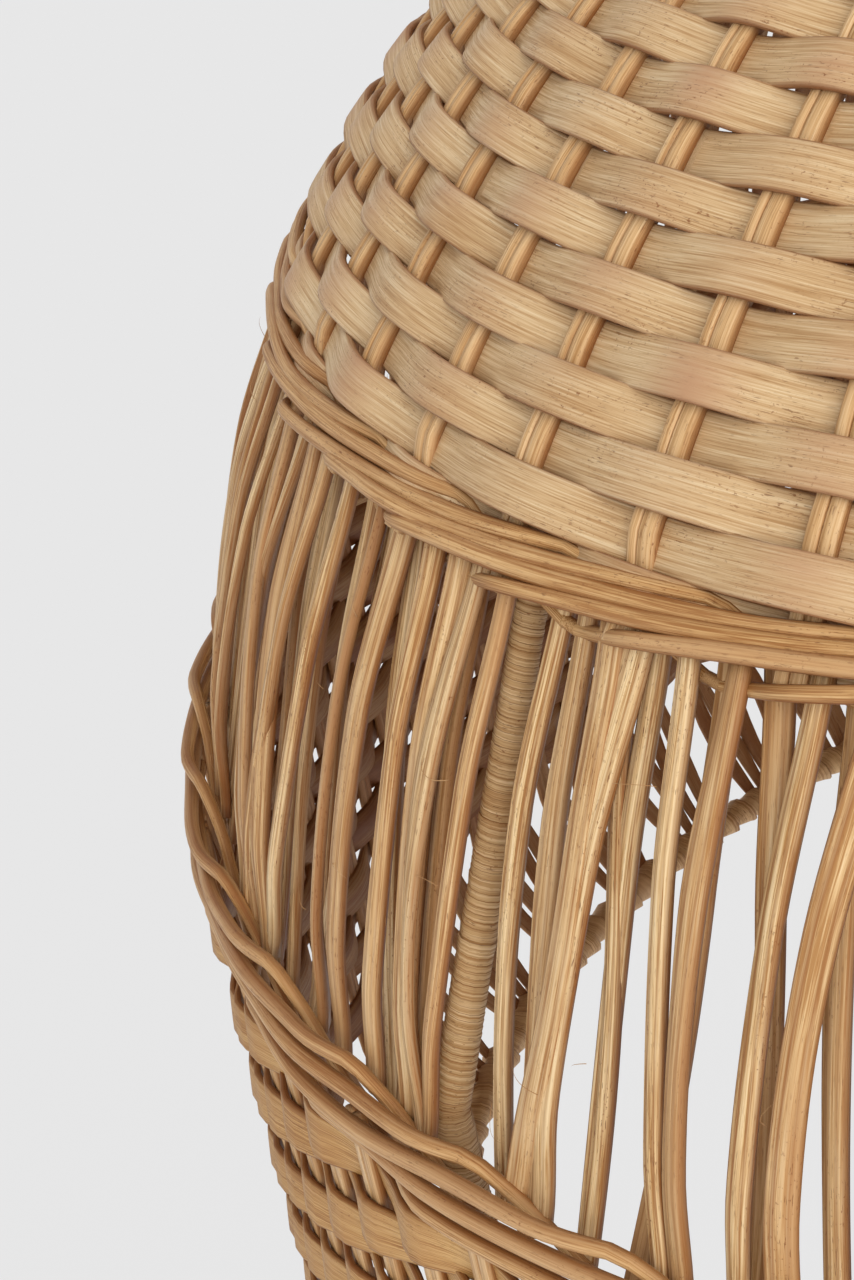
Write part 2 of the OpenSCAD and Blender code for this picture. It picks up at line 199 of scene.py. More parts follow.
def build(name, parts, material, body):
    """One object from several sweeps, riding on a body."""
    verts, quads, caps, strand, marks = zip(*parts)
    starts = np.concatenate([[0], np.cumsum([len(v) for v in verts])[:-1]])
    quads = np.concatenate([q + start for q, start in zip(quads, starts)])
    caps = [cap + start for ends, start in zip(caps, starts) for cap in ends]
    verts, strand, marks = (np.concatenate(values) for values in (verts, strand, marks))
    loops = np.concatenate([quads.ravel(), *caps]) if caps else quads.ravel()
    totals = np.concatenate([np.full(len(quads), 4), [len(c) for c in caps]]).astype(np.int32)
    mesh = bpy.data.meshes.new(name)
    mesh.vertices.add(len(verts))
    mesh.vertices.foreach_set("co", verts.astype(np.float32).ravel())
    mesh.loops.add(len(loops))
    mesh.loops.foreach_set("vertex_index", loops.astype(np.int32))
    mesh.polygons.add(len(totals))
    mesh.polygons.foreach_set("loop_start", np.concatenate([[0], np.cumsum(totals)[:-1]]).astype(np.int32))
    mesh.polygons.foreach_set("loop_total", totals)
    mesh.polygons.foreach_set("use_smooth", np.ones(len(totals), bool))
    mesh.update(calc_edges=True)
    mesh.attributes.new("strand", "FLOAT_VECTOR", "POINT").data.foreach_set(
        "vector", strand.astype(np.float32).ravel())
    for k, key in enumerate(("edge", "tone")):
        mesh.attributes.new(key, "FLOAT", "POINT").data.foreach_set(
            "value", marks[:, k].astype(np.float32))
    mesh.materials.append(material)
    obj = bpy.data.objects.new(name, mesh)
    bpy.context.scene.collection.objects.link(obj)
    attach(obj, body)
    return obj


# ---------------------------------------------------------------- material helpers
class Shader:
    """A small helper that adds nodes to one material."""

    def __init__(self, name):
        self.material = bpy.data.materials.new(name)
        self.material.use_nodes = True
        self.tree = self.material.node_tree
        self.surface = self.tree.nodes["Principled BSDF"]

    def node(self, kind, inputs=None, **settings):
        made = self.tree.nodes.new(kind)
        for key, value in settings.items():
            setattr(made, key, value)
        for key, value in (inputs or {}).items():
            self.put(made.inputs[key], value)
        return made

    def put(self, socket, value):
        if isinstance(value, bpy.types.NodeSocket):
            self.tree.links.new(value, socket)
        else:
            socket.default_value = value

    def attribute(self, name, output="Fac"):
        return self.node("ShaderNodeAttribute", attribute_name=name).outputs[output]

    def stretched(self, vector, scale):
        return self.node("ShaderNodeVectorMath", {0: vector, 1: scale}, operation="MULTIPLY").outputs[0]

    def noise(self, vector, scale=1.0, detail=2.0, rough=0.5):
        return self.node("ShaderNodeTexNoise", {
            "Vector": vector, "Scale": scale, "Detail": detail, "Roughness": rough}).outputs["Fac"]

    def math(self, how, a, b=0.0, clamp=False):
        return self.node("ShaderNodeMath", {0: a, 1: b}, operation=how, use_clamp=clamp).outputs[0]

    def remap(self, value, low, high, to_low=0.0, to_high=1.0):
        return self.node("ShaderNodeMapRange", {
            "Value": value, "From Min": low, "From Max": high,
            "To Min": to_low, "To Max": to_high}).outputs[0]

    def mix(self, factor, a, b, how="MIX"):
        made = self.node("ShaderNodeMix", data_type="RGBA", blend_type=how)
        self.put(made.inputs[0], factor)
        self.put(made.inputs[6], a)
        self.put(made.inputs[7], b)
        return made.outputs[2]

    def ramp(self, value, stops):
        made = self.node("ShaderNodeValToRGB", {"Fac": value})
        ramp = made.color_ramp
        while len(ramp.elements) < len(stops):
            ramp.elements.new(0.5)
        for element, (place_, colour) in zip(ramp.elements, stops):
            element.position = place_
            element.color = colour
        return made.outputs["Color"]

    def bump(self, height, strength, distance):
        return self.node("ShaderNodeBump", {
            "Height": height, "Strength": strength, "Distance": distance}).outputs["Normal"]


def srgb(r, g, b):
    """Linear colour of an 8-bit display colour."""
    def one(c):
        c /= 255
        return c / 12.92 if c <= 0.04045 else ((c + 0.055) / 1.055) ** 2.4
    return (one(r), one(g), one(b), 1.0)


PORE_BROWN = srgb(120, 68, 30)
SCUFF_BROWN = srgb(132, 78, 38)


def rattan(name, dark, mid, light, edge, bend=None, streak=7.0, pore_depth=0.6, rough=0.5, spread=0.115):
    """Rattan with fine lengthwise fibre, dark pores and scuffs, the edge colour where its edge mark says so,
    and the bend colour where its tone mark says so. The edge colour is partly real browning of the cut sides
    and partly painted shade in grooves, on inner faces and between stacked rods. The smaller spread is, the
    stronger the fibre's contrast."""
    s = Shader(name)
    strand = s.attribute("strand", "Vector")
    fibre = s.noise(s.stretched(strand, (streak, 0.10, 1.0)), detail=2.0, rough=0.65)
    ridge = s.noise(s.stretched(strand, (streak * 0.36, 0.03, 1.0)), detail=1.0)
    broad = s.noise(s.stretched(strand, (0.22, 0.028, 1.0)), detail=3.0)
    patch = s.remap(s.noise(s.stretched(strand, (0.28, 0.07, 1.0)), detail=2.0), 0.46, 0.60)
    pores = s.remap(s.noise(s.stretched(strand, (8.0, 0.7, 1.0)), detail=1.0), 0.66, 0.73)
    pores = s.math("MULTIPLY", pores, s.math("ADD", 0.35, s.math("MULTIPLY", patch, 0.65)))
    specks = s.remap(s.noise(s.stretched(strand, (3.0, 1.8, 1.0)), detail=2.0, rough=0.7), 0.62, 0.72)
    scuffs = s.math("MULTIPLY", specks, patch)
    fibre_share, ridge_share, broad_share = 0.54, 0.24, 0.22
    coarse = s.math("ADD", s.math("MULTIPLY", ridge, ridge_share), s.math("MULTIPLY", broad, broad_share))
    shade = s.math("ADD", s.math("MULTIPLY", fibre, fibre_share), coarse)
    colour = s.ramp(shade, [(0.50 - spread, dark), (0.50, mid), (0.50 + spread, light)])
    if bend:
        dull = s.math("MULTIPLY", s.attribute("tone"), s.remap(broad, 0.35, 0.62, 0.3, 1.0))
        colour = s.mix(dull, colour, bend)
    # edge colour: partly browned cut sides, partly painted shade in grooves, on inner faces and between rods
    wear_and_shade = s.math("MULTIPLY", s.attribute("edge"), s.remap(broad, 0.35, 0.6, 0.95, 0.65))
    colour = s.mix(wear_and_shade, colour, edge)
    colour = s.mix(s.math("MULTIPLY", pores, pore_depth), colour, PORE_BROWN)
    colour = s.mix(s.math("MULTIPLY", scuffs, 0.8), colour, SCUFF_BROWN)
    s.put(s.surface.inputs["Base Color"], colour)
    s.put(s.surface.inputs["Roughness"], s.remap(fibre, 0.3, 0.7, rough + 0.12, rough - 0.06))
    s.surface.inputs["Specular IOR Level"].default_value = 0.3
    height = s.math("ADD", ridge, s.math("SUBTRACT", fibre, pores))
    s.put(s.surface.inputs["Normal"], s.bump(height, 0.5, 0.12 * MM))
    return s.material


def metal(name, colour, dull, metallic, rough, grain):
    """Brushed, lightly tarnished metal."""
    s = Shader(name)
    where = s.node("ShaderNodeTexCoord").outputs["Object"]
    cloud = s.noise(s.stretched(where, (45.0, 45.0, 30.0)), detail=4.0, rough=0.6)
    brushed = s.noise(s.stretched(where, grain), detail=2.0)
    s.put(s.surface.inputs["Base Color"], s.mix(s.remap(cloud, 0.42, 0.66), colour, dull))
    s.put(s.surface.inputs["Roughness"], s.remap(cloud, 0.3, 0.7, rough - 0.08, rough + 0.14))
    s.surface.inputs["Metallic"].default_value = metallic
    s.put(s.surface.inputs["Normal"], s.bump(brushed, 0.25, 0.08 * MM))
    return s.material


def bamboo(name, dark, mid, light):
    """Bamboo skin: lengthwise fibre, a few brown clouds and small spots."""
    s = Shader(name)
    where = s.node("ShaderNodeTexCoord").outputs["Object"]
    fibre = s.noise(s.stretched(where, (900.0, 900.0, 7.0)), detail=2.0, rough=0.6)
    cloud = s.noise(s.stretched(where, (26.0, 26.0, 7.0)), detail=4.0, rough=0.6)
    spots = s.remap(s.noise(s.stretched(where, (260.0, 260.0, 120.0)), detail=2.0), 0.68, 0.76)
    shade = s.math("ADD", s.math("MULTIPLY", fibre, 0.6), s.math("MULTIPLY", cloud, 0.4))
    colour = s.ramp(shade, [(0.38, dark), (0.5, mid), (0.62, light)])
    colour = s.mix(s.remap(cloud, 0.56, 0.72, 0.0, 0.7), colour, srgb(164, 118, 66))
    colour = s.mix(s.math("MULTIPLY", spots, 0.7), colour, srgb(104, 66, 34))
    s.put(s.surface.inputs["Base Color"], colour)
    s.put(s.surface.inputs["Roughness"], s.remap(cloud, 0.3, 0.7, 0.32, 0.5))
    s.put(s.surface.inputs["Normal"], s.bump(fibre, 0.3, 0.12 * MM))
    return s.material


def cotton():
    """Braided wick, charred at its tip."""
    s = Shader("cotton")
    coords = s.node("ShaderNodeTexCoord")
    weave = s.noise(s.stretched(coords.outputs["Object"], (1400.0, 1400.0, 700.0)), detail=1.0)
    split = s.node("ShaderNodeSeparateXYZ", {0: coords.outputs["Generated"]})
    charred = s.remap(s.math("ADD", split.outputs["Z"], s.math("MULTIPLY", weave, 0.05)), 0.90, 0.99)
    colour = s.ramp(weave, [(0.35, srgb(188, 176, 152)), (0.6, srgb(234, 228, 212))])
    s.put(s.surface.inputs["Base Color"], s.mix(charred, colour, srgb(44, 36, 30)))
    s.surface.inputs["Roughness"].default_value = 0.9
    s.put(s.surface.inputs["Normal"], s.bump(weave, 0.8, 0.5 * MM))
    return s.material


def rubber():
    """Dark gasket rubber with a faint grain."""
    s = Shader("rubber")
    grain = s.noise(s.node("ShaderNodeTexCoord").outputs["Object"], 900.0, detail=2.0)
    s.put(s.surface.inputs["Base Color"], s.ramp(grain, [(0.3, srgb(26, 26, 27)), (0.7, srgb(44, 43, 42))]))
    s.surface.inputs["Roughness"].default_value = 0.72
    s.put(s.surface.inputs["Normal"], s.bump(grain, 0.3, 0.1 * MM))
    return s.material


# edge colours: browned cut sides, and painted shade in grooves, on inner faces and between rods
SPLINT = rattan(
    "splint", dark=srgb(178, 138, 92), mid=srgb(206, 172, 128), light=srgb(226, 200, 160),
    edge=srgb(136, 80, 38), bend=srgb(192, 148, 112))
LOWER_SPLINT = rattan(
    "lower_splint", dark=srgb(152, 100, 48), mid=srgb(188, 142, 82), light=srgb(212, 172, 114),
    edge=srgb(118, 64, 24), bend=srgb(176, 130, 80), pore_depth=0.85, spread=0.085)
CANE = rattan(
    "cane", dark=srgb(172, 124, 70), mid=srgb(221, 186, 135), light=srgb(243, 217, 171),
    edge=srgb(140, 84, 38), bend=srgb(186, 138, 88), streak=6.0, pore_depth=0.85, spread=0.09)
CORE = rattan(
    "core", dark=srgb(158, 106, 54), mid=srgb(198, 153, 98), light=srgb(221, 182, 129),
    edge=srgb(140, 84, 38), bend=srgb(196, 153, 108), streak=6.0, pore_depth=0.8, rough=0.48, spread=0.085)
STAKE = rattan(
    "stake", dark=srgb(176, 130, 80), mid=srgb(206, 165, 115), light=srgb(226, 192, 146),
    edge=srgb(144, 88, 42), streak=6.0)
RAFFIA = rattan(
    "raffia", dark=srgb(176, 130, 80), mid=srgb(204, 166, 116), light=srgb(230, 200, 156),
    edge=srgb(150, 100, 56), pore_depth=0.8, rough=0.62)
BAMBOO = bamboo("bamboo", srgb(176, 140, 84), srgb(204, 174, 116), srgb(222, 198, 144))
BAMBOO_NODE = bamboo("bamboo_node", srgb(132, 92, 50), srgb(172, 134, 82), srgb(198, 166, 112))
COTTON = cotton()
RUBBER = rubber()
STEEL = metal("coated_steel", colour=srgb(52, 50, 48), dull=srgb(74, 68, 62), metallic=0.85, rough=0.46,
              grain=(900.0, 900.0, 60.0))
COPPER = metal("aged_copper", colour=srgb(196, 132, 92), dull=srgb(142, 92, 64), metallic=1.0, rough=0.34,
               grain=(60.0, 60.0, 1400.0))


# ---------------------------------------------------------------- dome
def dome_place(phi, along, lift):
    """Points on the dome and their outward normals: along is measured up its arc, and lift outward from the
    middle of the stakes."""
    angle = ARC_START + along / ARC_R
    out = radial(phi) * np.cos(angle)[:, None] + np.sin(angle)[:, None] * Z
    centre = radial(phi) * ARC_X + ARC_Z * Z
    return centre + out * (DOME_C + lift)[:, None], out


def dome_radius(along):
    """Distance from the axis at a point of the arc."""
    return ARC_X + DOME_C * np.cos(ARC_START + along / ARC_R)


def dome_scale(along):
    """How far stakes and waves shrink as the stakes draw together towards the neck."""
    full_size_r, smallest = 0.80 * R, 0.45
    return np.clip(dome_radius(along) / full_size_r, smallest, 1.0)


def dome_turn(rng, turn):
    """One turn of the dome's splint, which starts and ends behind a stake at the back."""
    per_pitch = 8
    grain_length = 12                      # in pitches, as a real splint ends and a new one takes over
    reach = (STAKE_T + SPLINT_T) / 2 * 0.92
    crown, proud, behind_waling = 0.35 * MM, 0.15 * MM, 1.3 * MM
    middle = RIB_PHASE / PITCH
    back = round(middle) - STAKES // 2
    start = back - turn % 2
    stop = back - (turn + 1) % 2 + STAKES
    count = np.linspace(start, stop, (stop - start) * per_pitch + 1)
    stakes = np.arange(start, stop + 1)
    phi = PHASE + count * PITCH
    ends = np.minimum(1, np.minimum(count - start, stop - count))
    along = WALING_H + ROW_W * (turn + 0.5 + (count - middle) / STAKES)
    along = along + smooth_noise(rng, len(phi), knots=40, size=0.07 * MM) * ends
    over = np.cos(math.pi * (count + turn))
    crest = np.clip(over, 0, 1) ** 2 * np.interp(count, stakes, rng.uniform(0.0, 1.0, len(stakes)))
    lift = dome_scale(along) * (reach * over + crown * crest + proud)
    if turn < 0:
        lift -= behind_waling
    path, out = dome_place(phi, along, lift)
    wide = 1 + smooth_noise(rng, len(phi), knots=14, size=0.015)
    block = np.floor((count + turn + 1) / grain_length).astype(int)
    seeds = rng.uniform(0, GRAINS, 8)[block - block[0]]
    return sweep(path, out, flat_profile(ROW_W * 1.035, SPLINT_T), width=wide, tone=crest, seed=seeds,
                 twist=np.radians(2.5) * over)


def dome_weave():
    """One splint that climbs in a helix: it passes over one stake and under the next, and as the stakes are
    odd in number each turn alternates with the last. Each turn is its own piece. The turn below the first
    lies deeper, behind the waling."""
    rng = np.random.default_rng(11)
    for turn in (*range(DOME_ROWS), -1):
        part = dome_turn(rng, turn)
        piece = build(f"dome_splint_{turn + 1:02d}", [part], SPLINT, "head")
        if turn == 0:
            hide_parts("dome_weave")


def dome_stake(rng, n):
    """The two flat strips of stake n. Their widths differ, and always add up to the same."""
    wall_w, apart = 3.3, 1.6               # millimetres along the wall
    wave, stagger, behind = 0.15, 0.03, 1.2    # millimetres outward or inward
    top = WALING_H + ROW_W * (DOME_ROWS + 0.3)
    along = np.linspace(0.1 * WALING_H, top, 100)
    row = (along - WALING_H) / ROW_W - 0.5
    over = np.cos(math.pi * (n + row))
    shrink = dome_scale(along)
    behind_waling = 1 - smoothstep(along, WALING_H - 1 * MM, WALING_H + 4 * MM)
    bow = smooth_noise(rng, len(along), knots=9, size=0.25 * MM)
    drift = math.radians(rng.normal(0, 0.22))
    share = rng.uniform(0.34, 0.66)
    parts = []
    for side, part in ((-1, share), (1, 1 - share)):
        aside = (bow + side * (1 - part) * apart * MM * shrink) / dome_radius(along)
        lift = (-wave * over * shrink + stagger * side - behind * behind_waling) * MM
        path, out = dome_place(PHASE + n * PITCH + drift + aside, along, lift)
        parts.append(sweep(path, out, stake_profile(wall_w * part * MM, STAKE_T), width=shrink,
                           seed=rng.uniform(0, GRAINS), twist=math.radians(rng.normal(-2 * side, 2))))
    return parts


def dome_stakes():
    """The dome's stakes, in several pieces."""
    rng = np.random.default_rng(12)
    groups = 7
    for g in range(groups):
        parts = []
        for n in range(g * STAKES // groups, (g + 1) * STAKES // groups):
            parts += dome_stake(rng, n)
        piece = build(f"dome_stakes_{g + 1}", parts, STAKE, "head")
        if g == 0:
            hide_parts("dome_stakes")


# ---------------------------------------------------------------- waling
def rod_course(p):
    """How a waling rod runs, by the share p of its course: how far outside the stakes it lies, from 0 to 1,
    how high it has risen, from -1 to 1, and how thick it is."""
    out_by, going_in, in_by = 0.14, 0.70, 0.88
    rising, falling = 0.8, 0.2
    thin, swell, thin_by = 0.74, 0.26, 0.86
    outside = smoothstep(p, 0.0, out_by) * (1 - smoothstep(p, going_in, in_by))
    rise = np.where(p < rising, p / rising, (1 - p) / falling) * 2 - 1
    return outside, rise, thin + swell * np.sin(math.pi * np.clip(p / thin_by, 0, 1))


def waling(name, surface, rods, middle, rod, travel, base, swing, wander, seed, replaced, deep):
    """A band of several rods. Each comes out at the lower edge, rises outside the stakes to the upper edge
    and goes in behind one stake; the next rod starts one stake on. A piece is about one turn, cut where it
    is hidden. surface places a rod of radius rod by height and lift: its height runs travel to either side
    of middle, and its lift swing to either side of base. deep is how much further in it lies at the lower
    edge, to come out from behind the canes there."""
    rng = np.random.default_rng(seed)
    per_pitch = 9
    ride_over = 0.45                       # in radii: how far in a rod's upper end lies
    fade_points = 20                       # the wander fades out this near the band's two ends
    count = rods - 1 + np.arange(rods * STAKES * per_pitch + 1) / per_pitch
    course = (count + 0.5) / rods
    outside, rise, lens = rod_course(course % 1.0)
    points = len(count)
    from_end = np.minimum(np.arange(points), np.arange(points)[::-1])
    fade = np.minimum(1, from_end / fade_points)
    lift = base + swing * (outside * 2 - 1) - ride_over * rod * rise * outside
    lift = lift - deep * (1 - outside) * np.clip(-rise, 0, 1)
    lift = lift + smooth_noise(rng, points, knots=70 * rods, size=wander * 0.6) * fade
    height = middle + rise * travel + smooth_noise(rng, points, knots=40 * rods, size=wander) * fade
    path, out = surface(PHASE - count * PITCH, height, lift)
    wear_and_shade = smooth_noise(rng, points, knots=20 * rods, size=0.5)
    tone = outside * (0.2 + 0.6 * np.clip(wear_and_shade + 0.5, 0, 1))
    wide = lens * (1 + smooth_noise(rng, points, knots=30 * rods, size=0.07) * fade)
    seeds = rng.uniform(0, GRAINS, rods * STAKES)[course.astype(int)]
    cuts = [rods * round(k * STAKES / rods) * per_pitch for k in range(rods + 1)]
    profile = round_profile(rod, sides=12, flatten=0.85)
    for k in range(rods):
        cut = slice(cuts[k], cuts[k + 1] + 1)
        part = sweep(path[cut], out[cut], profile, tone=tone[cut], seed=seeds[cut], width=wide[cut],
                     thick=lens[cut])
        piece = build(f"{name}_{k + 1}", [part], CORE, "head")
        if k == 0:
            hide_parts(replaced)


def belt_surface(phi, height, lift):
    """Points of the lower waling and their outward normals, where height counts up from its upper edge."""
    return place(phi, BELT_C + lift, BELT_Z + height), radial(phi)


# ---------------------------------------------------------------- open lattice
# A layer of canes: place between stations; mean lean and its spread, in degrees; depth, bow, reach below the
# lower waling's upper edge and how far the feet are drawn in behind it, in millimetres
Layer = namedtuple("Layer", "offset lean lean_spread depth bow reach drawn_in")
OUTER_LAYER = Layer(offset=0.3, lean=-0.6, lean_spread=1.9, depth=0.0, bow=1.7, reach=5.0, drawn_in=1.3)
INNER_LAYER = Layer(offset=0.0, lean=-1.7, lean_spread=1.3, depth=-1.9, bow=0.8, reach=9.0, drawn_in=0.0)


def lattice_cane(rng, layer, base):
    """One cane, whose head is near the azimuth base, and drawn in behind the upper waling. It keeps clear of
    the ribs."""
    clear = math.radians(1.9)
    near_rib = 2.2 * clear
    t = np.linspace(0, 1, 28)
    middle = np.sin(math.pi * t)
    top = base + math.radians(rng.normal(0, 0.35))
    lean = rng.normal(layer.lean, layer.lean_spread)
    aside = (top + math.radians(lean) / 2 - RIB_PHASE + RIB_GAP) % (TAU / RIBS)
    aside = aside if aside < TAU / RIBS / 2 else aside - TAU / RIBS
    if abs(aside) < near_rib:
        top += math.copysign(clear * (1 - abs(aside) / near_rib), aside)
        lean *= 0.35
    foot = top + math.radians(lean)
    phi = top + (foot - top) * t + math.radians(rng.normal(0, 0.65)) * middle
    depth = layer.depth * MM + rng.normal(0, 0.25) * MM
    bow = layer.bow * MM * rng.uniform(0.6, 1.4)
    tuck = 1.6 * MM * (1 - smoothstep(t, 0.0, 0.35)) + layer.drawn_in * MM * smoothstep(t, 0.75, 1.0)
    r = R - 1.9 * MM + (BELT_R - R) * t + depth + bow * middle - tuck
    head_z, foot_z = RING_Z + 1.8 * MM, BELT_Z - layer.reach * MM
    z = head_z + (foot_z - head_z) * t
    wide = rng.uniform(1.9, 3.5) * MM
    turn = math.radians(rng.normal(0, 12))
    turn = turn + smooth_noise(rng, len(t), knots=3, size=math.radians(8))
    return sweep(place(phi, r, z), radial(phi), cane_profile(wide, 1.35 * MM), seed=rng.uniform(0, GRAINS),
                 tone=rng.uniform(0, 1) ** 2, twist=turn,
                 width=1 + smooth_noise(rng, len(t), knots=4, size=0.05))


def lattice():
    """Split canes between the walings, an inner and an outer one at each station."""
    rng = np.random.default_rng(14)
    groups, stations = 14, 10
    for g in range(groups):
        parts = []
        for k in range(stations):
            for layer in (INNER_LAYER, OUTER_LAYER):
                base = PHASE + (g * stations + k + layer.offset) * TAU / (groups * stations)
                parts.append(lattice_cane(rng, layer, base))
        piece = build(f"lattice_canes_{g + 1:02d}", parts, CANE, "head")
        if g == 0:
            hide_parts("lattice_canes_outer", "lattice_canes_inner")


def stray_hairs():
    """Loose fibres that curl off the canes and taper towards their tips."""
    rng = np.random.default_rng(40)
    hairs = 90
    parts = []
    for _ in range(hairs):
        start = rng.uniform(0, TAU)
        t = np.linspace(0, 1, 14)
        long = rng.uniform(2, 6.5) * MM
        bend = rng.uniform(-2.4, 2.4)
        heading = rng.uniform(0, TAU) + bend * t
        low = rng.uniform(0.08, 0.92)
        r = R - 1 * MM + (BELT_R - R) * low + long * rng.uniform(0.05, 0.3) * np.sin(math.pi * t)
        around = np.cumsum(np.cos(heading)) / len(t) * long
        z = RING_Z + (BELT_Z - RING_Z) * low + np.cumsum(np.sin(heading)) / len(t) * long
        phi = start + around / R
        thin = rng.uniform(0.03, 0.055) * MM
        taper = 1.1 - t
        parts.append(sweep(place(phi, r, z), radial(phi), round_profile(thin, sides=4),
                           seed=rng.uniform(0, GRAINS), width=taper, thick=taper))
    build("stray_hairs", parts, RAFFIA, "head")


# ---------------------------------------------------------------- lower weave
def lower_weave():
    """Rings of flat splint over twice as many stakes. Each narrows where it goes behind a stake, and tilts
    one way in front and the other way behind, which leaves small openings between the rows."""
    rng = np.random.default_rng(15)
    per_pitch = 6
    count2 = 2 * STAKES
    row_h = (LOWER_TOP_Z - WEAVE_END_Z) / LOWER_ROWS
    reach, crown = 0.98, 0.8               # millimetres outward
    tilt = np.radians(7)
    profile = flat_profile(row_h * 1.1, 0.9 * MM)
    for row in range(LOWER_ROWS):
        index = np.arange(count2 * per_pitch) / per_pitch
        phi = PHASE + index * PITCH / 2
        over = np.cos(math.pi * (index + row))
        from_seam = np.minimum(np.arange(len(phi)), np.arange(len(phi))[::-1])
        fade = np.minimum(1, from_seam / 12)
        z = LOWER_TOP_Z - row_h * (row + 0.5) + smooth_noise(rng, len(phi), knots=50, size=0.3 * MM) * fade
        lift = (reach * over + crown * np.clip(over, 0, 1) ** 2) * MM
        tone = np.clip(over, 0, 1) * 0.7
        wide = (0.95 + 0.05 * over) * (1 + smooth_noise(rng, len(phi), knots=30, size=0.03) * fade)
        part = sweep(place(phi, LOWER_C + lift, z), radial(phi), profile, closed=True, tone=tone,
                     seed=rng.uniform(0, GRAINS), twist=tilt * over, width=wide)
        piece = build(f"lower_splint_{row + 1:02d}", [part], LOWER_SPLINT, "head")
        if row == 0:
            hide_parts("lower_weave")


def lower_strip(rng, n, side):
    """One of the two flat strips of lower stake n. Below the weave it bends towards its pair's middle."""
    stake_seat, strip_seat = 2.8, 1.3      # millimetres from the middle of a bunch at the rim
    start = PHASE + n * PITCH / 2
    pair = PHASE + (n // 2 + 0.25) * PITCH
    z_top = BELT_Z - 6.0 * MM
    z = z_top + (RIM_Z - z_top) * np.linspace(0, 1, 36)
    low = np.clip((WEAVE_END_Z - z) / (WEAVE_END_Z - RIM_Z), 0, 1)
    bulge = np.sin(math.pi * low)
    r = LOWER_C + (RIM_R - LOWER_C) * low ** 1.5
    seat = (stake_seat if n % 2 else -stake_seat) + strip_seat * side
    apart = side * (0.8 * (1 - low) + 1.5 * bulge) * MM / LOWER_C
    phi = (start + apart + (pair - start + seat * MM / RIM_R) * low
           + math.radians(rng.normal(0, 0.2)) * bulge)
    return sweep(place(phi, r, z), radial(phi), stake_profile(1.8 * MM, 1.15 * MM),
                 seed=rng.uniform(0, GRAINS), width=1 + 1.0 * bulge,
                 thick=1 - 0.3 * smoothstep(low, 0.0, 0.3), twist=math.radians(rng.normal(0, 10)) * low)


def lower_stakes():
    """Stakes of the lower weave, two flat strips each, that run on below it as open strips: the four strips
    of a pair of stakes gather side by side at the rim."""
    rng = np.random.default_rng(16)
    groups = 7
    count2 = 2 * STAKES
    for g in range(groups):
        parts = []
        for n in range(g * count2 // groups, (g + 1) * count2 // groups):
            parts += [lower_strip(rng, n, side) for side in (-1, 1)]
        piece = build(f"lower_stakes_{g + 1}", parts, STAKE, "head")
        if g == 0:
            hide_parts("lower_stakes", "rim_strips")


# ---------------------------------------------------------------- windings
def winding(name, centre, frame_a, frame_b, radius, turns, strip_w, strip_t, material, body, seed,
            closed, lap, swell):
    """A strip wound round a line, each turn lapping the last by a tilt of lap degrees. frame_a and frame_b
    are the two directions square to the line. swell is by what share of the radius a turn lies further
    out."""
    rng = np.random.default_rng(seed)
    per_turn = 11
    n = turns * per_turn + (0 if closed else 1)
    t = np.arange(n) / (turns * per_turn)
    at = t * (len(centre) - 1)
    i = np.minimum(at.astype(int), len(centre) - 2)
    u = (at - i)[:, None]
    line = centre[i] * (1 - u) + centre[i + 1] * u
    a = unit(frame_a[i] * (1 - u) + frame_a[i + 1] * u)
    b = unit(frame_b[i] * (1 - u) + frame_b[i + 1] * u)
    angle = TAU * turns * t
    out = a * np.cos(angle)[:, None] + b * np.sin(angle)[:, None]
    each_turn = np.arange(turns + 1)
    lump = 1 + np.interp(t * turns, each_turn, rng.normal(0, 0.02, turns + 1) + swell)
    lump[-1] = lump[0]
    path = line + out * (radius * lump)[:, None]
    tone = np.interp(t * turns, each_turn, rng.uniform(0, 1, turns + 1))
    part = sweep(path, out, flat_profile(strip_w, strip_t), closed=closed, tone=tone,
                 seed=rng.uniform(0, GRAINS), twist=math.radians(lap))
    return build(name, [part], material, body)


def rim_binding():
    """The rim, wound with core, and thicker where each bunch of strips turns round it."""
    points = 361
    phi = np.linspace(0, TAU, points)
    turns = 4 * STAKES
    at = np.linspace(0, TAU, turns + 1) - PHASE - 0.25 * PITCH
    thickest = 0.42                        # as a share of the radius
    bunch = thickest * np.clip(np.cos(at * STAKES), 0, 1) ** 2
    piece = winding("rim_winding", place(phi, RIM_R, RIM_Z), radial(phi), np.repeat(Z[None], points, 0),
                    radius=2.0 * MM, turns=turns, strip_w=5.6 * MM, strip_t=0.8 * MM, material=CORE,
                    body="head", seed=17, closed=True, lap=11, swell=bunch)
    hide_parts("rim_binding")


def rib_wrapping():
    """Raffia wound tightly round each rib, from under the upper waling to behind the lower one."""
    points = 41
    inset = 8.3 * MM
    foot_r, foot_z = LOWER_R - inset, BELT_Z - 4 * MM
    r = np.array([R - inset - 1 * MM, foot_r, foot_r])
    z = np.array([RING_Z + 1 * MM, foot_z, foot_z - 22 * MM])
    down = z[0] - z
    even = np.linspace(0, down[-1], points)
    r, z = np.interp(even, down, r), z[0] - even
    turns = 108
    thicker = np.linspace(0, 0.5, turns + 1)
    for k in range(RIBS):
        azimuth = RIB_PHASE + k * TAU / RIBS
        centre = place(np.full(points, azimuth), r, z)
        line = unit(np.gradient(centre, axis=0))
        sideways = unit(np.cross(radial(azimuth), line))
        piece = winding(f"rib_raffia_{k + 1}", centre, np.cross(line, sideways), sideways,
                        radius=1.55 * MM, turns=turns, strip_w=1.15 * MM, strip_t=0.14 * MM, material=RAFFIA,
                        body="head", seed=18 + k, closed=False, lap=5, swell=thicker)
        if k == 0:
            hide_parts("rib_wrapping")


